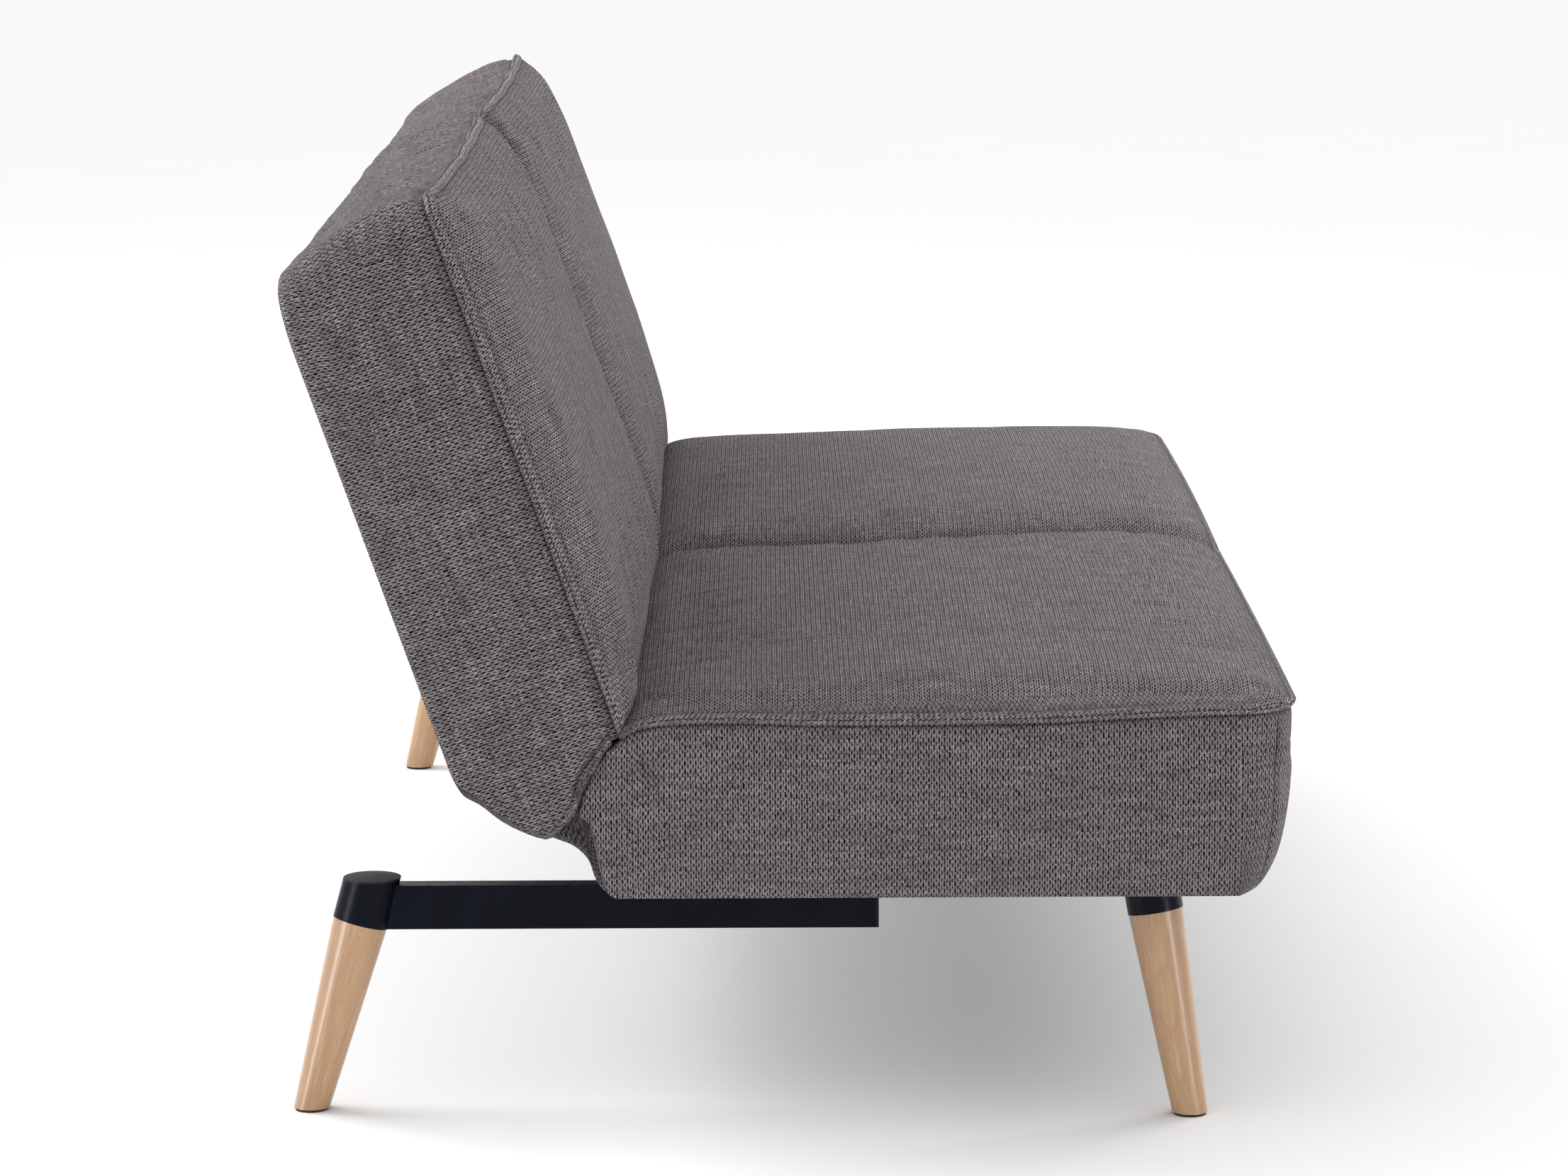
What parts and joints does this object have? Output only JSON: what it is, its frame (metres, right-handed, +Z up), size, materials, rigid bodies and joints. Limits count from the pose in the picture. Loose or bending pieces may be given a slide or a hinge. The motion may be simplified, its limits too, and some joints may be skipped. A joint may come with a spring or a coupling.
{
  "type": "sofa bed",
  "caption": "Click-clack sofa bed: crowned fabric seat and reclining back with centre channels, on black steel rails and splayed tapered wooden legs.",
  "frame": {"origin": "on the floor, under the middle of the whole object at rest with the back upright", "axes": "+X along the length to the sitter's left, the front faces -Y, +Z up"},
  "size_m": [1.8004, 0.8963, 0.8302],
  "materials": {
    "cover_fabric": "matte",
    "foam": "matte",
    "dust_cover": "matte",
    "felt": "matte",
    "wadding": "matte",
    "board": "matte",
    "black_steel": "satin",
    "spring_steel": "satin",
    "zinc_steel": "satin",
    "black_plastic": "satin",
    "glide_plastic": "matte",
    "washer_nylon": "satin",
    "leg_wood": "satin"
  },
  "bodies": {
    "base": {"seat_cover": "cover_fabric", "crease_gusset": "cover_fabric", "seat_foam": "foam", "seat_dust_cover": "dust_cover", "seat_felt_pad": "felt", "seat_frame": "black_steel", "seat_springs": "spring_steel", "seat_spring_clips": "black_plastic", "left_side_rail": "black_steel", "right_side_rail": "black_steel", "rail_end_plugs": "black_plastic", "rail_spacers": "black_steel", "rail_bolts": "zinc_steel", "left_rear_cup": "black_steel", "right_rear_cup": "black_steel", "rear_cup_caps": "black_plastic", "left_front_cup": "black_steel", "right_front_cup": "black_steel", "left_rear_leg": "leg_wood", "right_rear_leg": "leg_wood", "left_front_leg": "leg_wood", "right_front_leg": "leg_wood", "leg_hanger_bolts": "zinc_steel", "foot_glides": "glide_plastic", "left_seat_hinge_plate": "black_steel", "right_seat_hinge_plate": "black_steel", "hinge_washers": "washer_nylon", "pivot_bolts": "zinc_steel", "pivot_nuts": "zinc_steel", "seat_hinge_bolts": "zinc_steel"},
    "backrest": {"back_cover": "cover_fabric", "back_foam": "foam", "back_felt_pad": "felt", "back_frame": "black_steel", "back_springs": "spring_steel", "back_spring_clips": "black_plastic", "back_rear_board": "board", "back_rear_wadding": "wadding", "left_back_hinge_plate": "black_steel", "right_back_hinge_plate": "black_steel", "back_hinge_bolts": "zinc_steel", "catch_pins": "zinc_steel", "catch_springs": "spring_steel"},
    "left_catch": {"left_hinge_catch": "zinc_steel"},
    "right_catch": {"right_hinge_catch": "zinc_steel"}
  },
  "joints": [
    {"name": "back_recline", "type": "hinge", "parent": "base", "child": "backrest", "pos_m": [0, 0.215, 0.282], "axis": [-1, 0, 0], "range_deg": [0, 70.6], "deforming": ["crease_gusset"]},
    {"name": "left_catch_lift", "type": "hinge", "parent": "backrest", "child": "left_catch", "pos_m": [0.8235, 0.24494, 0.29478], "axis": [-1, 0, 0], "range_deg": [0, 7.8], "stiffness_Nm_per_rad": 0.2, "springref_deg": -11.46, "deforming": ["catch_springs"]},
    {"name": "right_catch_lift", "type": "hinge", "parent": "backrest", "child": "right_catch", "pos_m": [-0.8235, 0.24494, 0.29478], "axis": [-1, 0, 0], "range_deg": [0, 7.8], "stiffness_Nm_per_rad": 0.2, "springref_deg": -11.46, "deforming": ["catch_springs"]}
  ],
  "couplings": [
    {"joint": "left_catch_lift", "follows": "back_recline", "ratio": 0.11},
    {"joint": "right_catch_lift", "follows": "back_recline", "ratio": 0.11}
  ]
}
